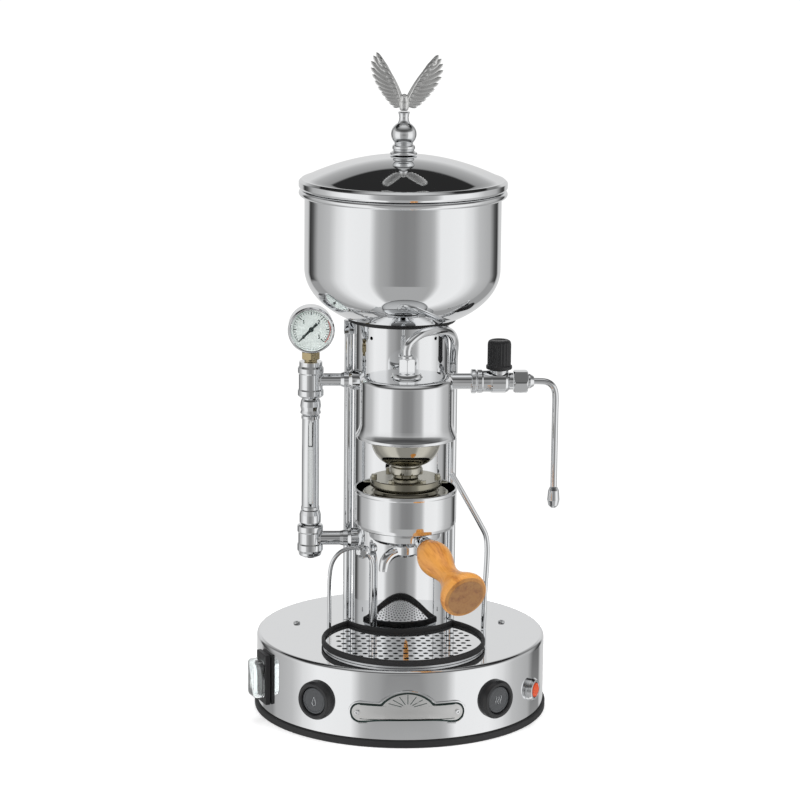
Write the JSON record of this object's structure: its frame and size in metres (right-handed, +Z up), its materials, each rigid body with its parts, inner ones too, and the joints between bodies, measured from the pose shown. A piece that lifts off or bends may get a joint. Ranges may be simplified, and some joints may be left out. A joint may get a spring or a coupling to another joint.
{
  "type": "espresso machine",
  "caption": "Tall home espresso machine: round base, boiler column, water bowl with domed lid, brew group with wooden-handled portafilter, gauge, sight glass and steam wand.",
  "frame": {"origin": "middle of the underside of the base", "axes": "+Z up, -Y to the front where the brew group is, +X to the side of the steam wand"},
  "size_m": [0.2729, 0.2944, 0.566],
  "materials": {
    "chrome": "polished chrome plate",
    "nickel": "nickel-plated brass, satin",
    "brass": "plain brass",
    "steel": "brushed stainless steel",
    "rubber": "matt black rubber",
    "black_plastic": "black moulded plastic",
    "button_grey": "dark grey moulded plastic",
    "clear_plastic": "clear",
    "wood": "oiled honey-coloured hardwood",
    "lamp_orange": "orange-red lens",
    "dial": "white printed dial"
  },
  "bodies": {
    "machine": {"base_pan": "rubber", "base_drum": "chrome", "name_plate": "chrome", "switch_frame": "black_plastic", "switch_cover": "clear_plastic", "brew_button_bezel": "black_plastic", "steam_button_bezel": "black_plastic", "lamp_bezel": "chrome", "lamp_lens": "lamp_orange", "power_inlet": "black_plastic", "pump": "steel", "control_box": "black_plastic", "column_sleeve": "chrome", "boiler_vessel": "brass", "heating_element": "steel", "bowl_seat_ring": "rubber", "reservoir_bowl": "chrome", "outlet_strainer": "brass", "feed_riser": "chrome", "brew_pipe": "chrome", "group_cap": "chrome", "group_body": "nickel", "group_arm": "chrome", "group_head": "nickel", "group_bell": "chrome", "group_gasket": "rubber", "shower_screen": "steel", "steam_pipe": "chrome", "steam_valve_body": "chrome", "wand_nut": "chrome", "upper_tee": "chrome", "lower_tee": "chrome", "sight_guard": "chrome", "sight_tube": "clear_plastic", "upper_gland_nut": "chrome", "lower_gland_nut": "chrome", "gauge_case": "chrome", "gauge_dial": "dial", "gauge_glass": "clear_plastic", "drain_pipes": "chrome", "exhaust_pipe": "chrome"},
    "lid_body": {"lid": "chrome", "finial_stem": "chrome", "finial_bird": "chrome"},
    "tray_body": {"drip_tray": "steel", "tray_rim": "rubber"},
    "grille_body": {"drip_grille": "chrome"},
    "brew_button_body": {"brew_button": "button_grey"},
    "steam_button_body": {"steam_button": "button_grey"},
    "rocker_body": {"switch_rocker": "black_plastic"},
    "knob_body": {"steam_knob": "black_plastic"},
    "wand_body": {"steam_wand": "chrome", "wand_tip": "chrome"},
    "needle_body": {"gauge_needle": "black_plastic"},
    "portafilter_body": {"portafilter_head": "chrome", "filter_basket": "steel", "twin_spout": "chrome", "handle_ferrule": "chrome", "handle_grip": "wood"}
  },
  "joints": [
    {"name": "lid_lift", "type": "slide", "parent": "machine", "child": "lid_body", "axis": [0, 0, 1], "range_m": [0, 0.06]},
    {"name": "tray_lift", "type": "slide", "parent": "machine", "child": "tray_body", "axis": [0, 0, 1], "range_m": [0, 0.03]},
    {"name": "grille_lift", "type": "slide", "parent": "tray_body", "child": "grille_body", "axis": [0, 0, 1], "range_m": [0, 0.02]},
    {"name": "brew_press", "type": "slide", "parent": "machine", "child": "brew_button_body", "axis": [0.6101, 0.7923, 0], "range_m": [0, 0.003], "stiffness_N_per_m": 400, "springref_m": -0.001},
    {"name": "steam_press", "type": "slide", "parent": "machine", "child": "steam_button_body", "axis": [-0.6101, 0.7923, 0], "range_m": [0, 0.003], "stiffness_N_per_m": 400, "springref_m": -0.001},
    {"name": "switch_rock", "type": "hinge", "parent": "machine", "child": "rocker_body", "pos_m": [-0.12028, -0.04378, 0.037], "axis": [-0.342, 0.9397, 0], "range_deg": [0, 12]},
    {"name": "knob_turn", "type": "hinge", "parent": "machine", "child": "knob_body", "pos_m": [0.084, 0.018, 0.305], "axis": [0, 0, 1], "range_deg": [0, 540]},
    {"name": "wand_swivel", "type": "hinge", "parent": "machine", "child": "wand_body", "pos_m": [0.11, 0.018, 0.2835], "axis": [1, 0, 0], "range_deg": [-60, 20]},
    {"name": "needle_turn", "type": "hinge", "parent": "machine", "child": "needle_body", "pos_m": [-0.0787, 0.006, 0.331], "axis": [0, 1, 0], "range_deg": [0, 270]},
    {"name": "portafilter_turn", "type": "hinge", "parent": "machine", "child": "portafilter_body", "pos_m": [0, -0.058, 0.17], "axis": [0, 0, 1], "range_deg": [-60, 5]}
  ]
}
